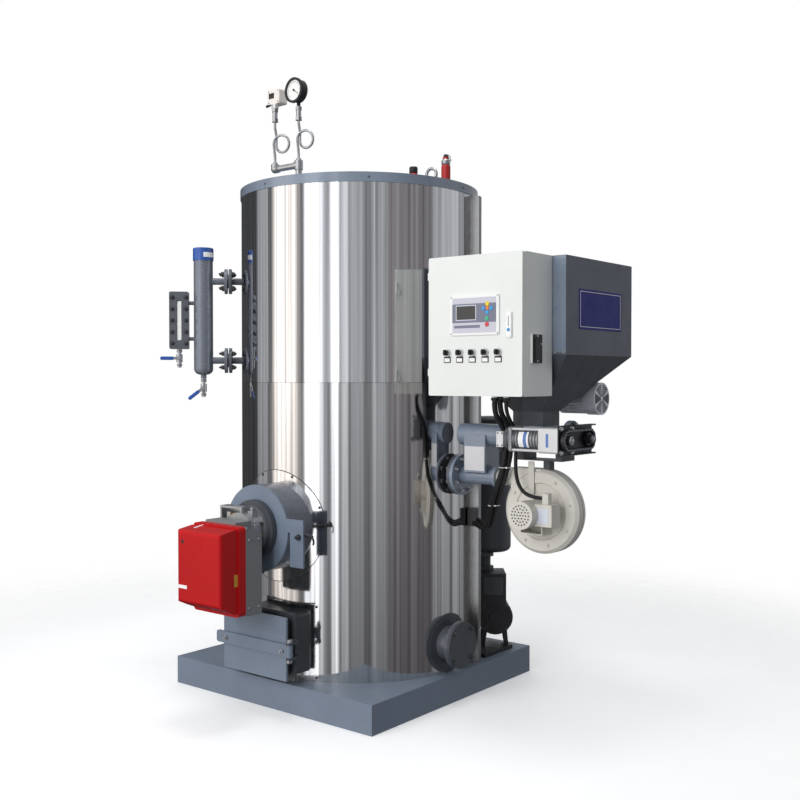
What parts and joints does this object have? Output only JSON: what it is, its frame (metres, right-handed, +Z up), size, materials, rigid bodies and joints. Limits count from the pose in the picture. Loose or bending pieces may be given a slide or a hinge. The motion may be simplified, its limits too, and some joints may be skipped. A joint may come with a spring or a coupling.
{
  "type": "vertical steam boiler",
  "caption": "Vertical steam boiler in polished cladding with a burner, hinged ash door, pellet hopper with chain driven feed, blower, level gauge and control cabinet.",
  "frame": {"origin": "on the floor under the shell's axis", "axes": "+Z up, -Y to the burner side, +X to the hopper side"},
  "size_m": [1.6962, 1.4967, 2.564],
  "materials": {
    "grey_paint": "satin",
    "dark_paint": "satin",
    "boiler_steel": "matte",
    "polished_cladding": "polished",
    "bright_steel": "satin",
    "red_enamel": "gloss",
    "cast_alloy": "satin",
    "housing_grey": "satin",
    "valve_red": "satin",
    "blue_handle": "gloss",
    "gauge_glass": "gloss",
    "hopper_paint": "satin",
    "black_paint": "satin",
    "cream_paint": "satin",
    "cabinet_paint": "satin",
    "panel_plastic": "matte",
    "black_plastic": "matte",
    "beige_plastic": "matte",
    "lead_rubber": "matte"
  },
  "bodies": {
    "boiler": {"base_frame": "grey_paint", "base_deck": "grey_paint", "boiler_wall": "boiler_steel", "cladding_lower": "polished_cladding", "cladding_upper": "polished_cladding", "top_plate": "grey_paint", "top_rim": "grey_paint", "cable_trunk": "bright_steel", "trunk_gland": "black_plastic", "flue_collar": "grey_paint", "lifting_eyes": "bright_steel", "safety_valves": "valve_red", "gauge_manifold": "bright_steel", "gauge_siphons": "bright_steel", "pressure_gauge": "black_plastic", "pressure_switch": "beige_plastic", "cladding_trims": "polished_cladding", "burner_drum": "dark_paint", "burner_cover": "grey_paint", "burner_ring": "dark_paint", "burner_casting": "cast_alloy", "burner_housing": "housing_grey", "burner_hood": "red_enamel", "ash_frame": "dark_paint", "shell_nozzles": "grey_paint", "cleanout_collar": "dark_paint", "cleanout_cover": "grey_paint", "level_column": "grey_paint", "level_cap": "blue_handle", "glass_frame": "dark_paint", "level_glass": "gauge_glass", "drain_valves": "bright_steel", "hopper_bin": "hopper_paint", "hopper_cone": "hopper_paint", "hopper_gussets": "hopper_paint", "feed_pipework": "grey_paint", "gear_motor": "black_paint", "gear_housings": "cast_alloy", "drive_plate": "black_paint", "chain_drive": "black_paint", "stirrer_motor": "housing_grey", "blower_casing": "cream_paint", "blower_motor": "cream_paint", "blower_hanger": "dark_paint", "cabinet_box": "cabinet_paint", "water_tank": "dark_paint", "feed_pump": "black_paint", "control_loom_a": "lead_rubber", "control_loom_b": "lead_rubber", "blower_lead": "lead_rubber"},
    "ash_door": {"ash_door": "grey_paint", "ash_lining": "black_paint"},
    "cabinet_door": {"cabinet_door": "cabinet_paint", "operator_panel": "panel_plastic", "selector_switches": "black_plastic"},
    "glass_lever": {"glass_lever": "blue_handle"},
    "column_lever": {"column_lever": "blue_handle"}
  },
  "joints": [
    {"name": "ash_door_hinge", "type": "hinge", "parent": "boiler", "child": "ash_door", "pos_m": [0.194, -0.626, 0.265], "axis": [0, 0, 1], "range_deg": [0, 110]},
    {"name": "cabinet_door_hinge", "type": "hinge", "parent": "boiler", "child": "cabinet_door", "pos_m": [0.621, -0.3215, 1.469], "axis": [0, 0, -1], "range_deg": [0, 110]},
    {"name": "glass_drain_lever", "type": "hinge", "parent": "boiler", "child": "glass_lever", "pos_m": [-0.5176, -0.5572, 1.366], "axis": [0.7071, -0.7071, 0], "range_deg": [0, 90]},
    {"name": "column_drain_lever", "type": "hinge", "parent": "boiler", "child": "column_lever", "pos_m": [-0.44689, -0.48649, 1.242], "axis": [0.7071, -0.7071, 0], "range_deg": [-38, 52]}
  ]
}
